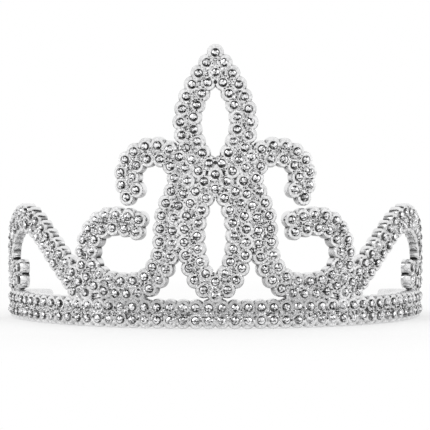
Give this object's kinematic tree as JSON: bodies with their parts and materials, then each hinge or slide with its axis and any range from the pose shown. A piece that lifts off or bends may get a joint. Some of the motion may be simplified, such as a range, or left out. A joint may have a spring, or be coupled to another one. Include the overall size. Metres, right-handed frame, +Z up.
{
  "type": "bridal tiara",
  "caption": "Open-backed silver bridal tiara with a stone-set scalloped band, a leaf-shaped crest, scrolls and side arches.",
  "frame": {"origin": "middle of the head circle, at the height of the band's lower edge", "axes": "+Z up out of the top of the head, -Y out of the forehead, +X to the wearer's left"},
  "size_m": [0.132, 0.1001, 0.0862],
  "materials": {
    "silvered_plastic": "vacuum-metallised silver, satin bright",
    "foiled_stone": "faceted acrylic stone with a mirror foil back"
  },
  "bodies": {
    "root": {"headband": "silvered_plastic", "crest_lower_loop": "silvered_plastic", "crest_upper_loop": "silvered_plastic", "right_scroll": "silvered_plastic", "left_scroll": "silvered_plastic", "right_side_arch": "silvered_plastic", "left_side_arch": "silvered_plastic", "headband_upper_stones": "foiled_stone", "headband_lower_stones": "foiled_stone", "lower_loop_outer_stones": "foiled_stone", "lower_loop_inner_stones": "foiled_stone", "upper_loop_outer_stones": "foiled_stone", "upper_loop_inner_stones": "foiled_stone", "right_scroll_inner_stones": "foiled_stone", "right_scroll_outer_stones": "foiled_stone", "left_scroll_inner_stones": "foiled_stone", "left_scroll_outer_stones": "foiled_stone", "right_arch_outer_stones": "foiled_stone", "right_arch_inner_stones": "foiled_stone", "left_arch_outer_stones": "foiled_stone", "left_arch_inner_stones": "foiled_stone"}
  },
  "joints": []
}
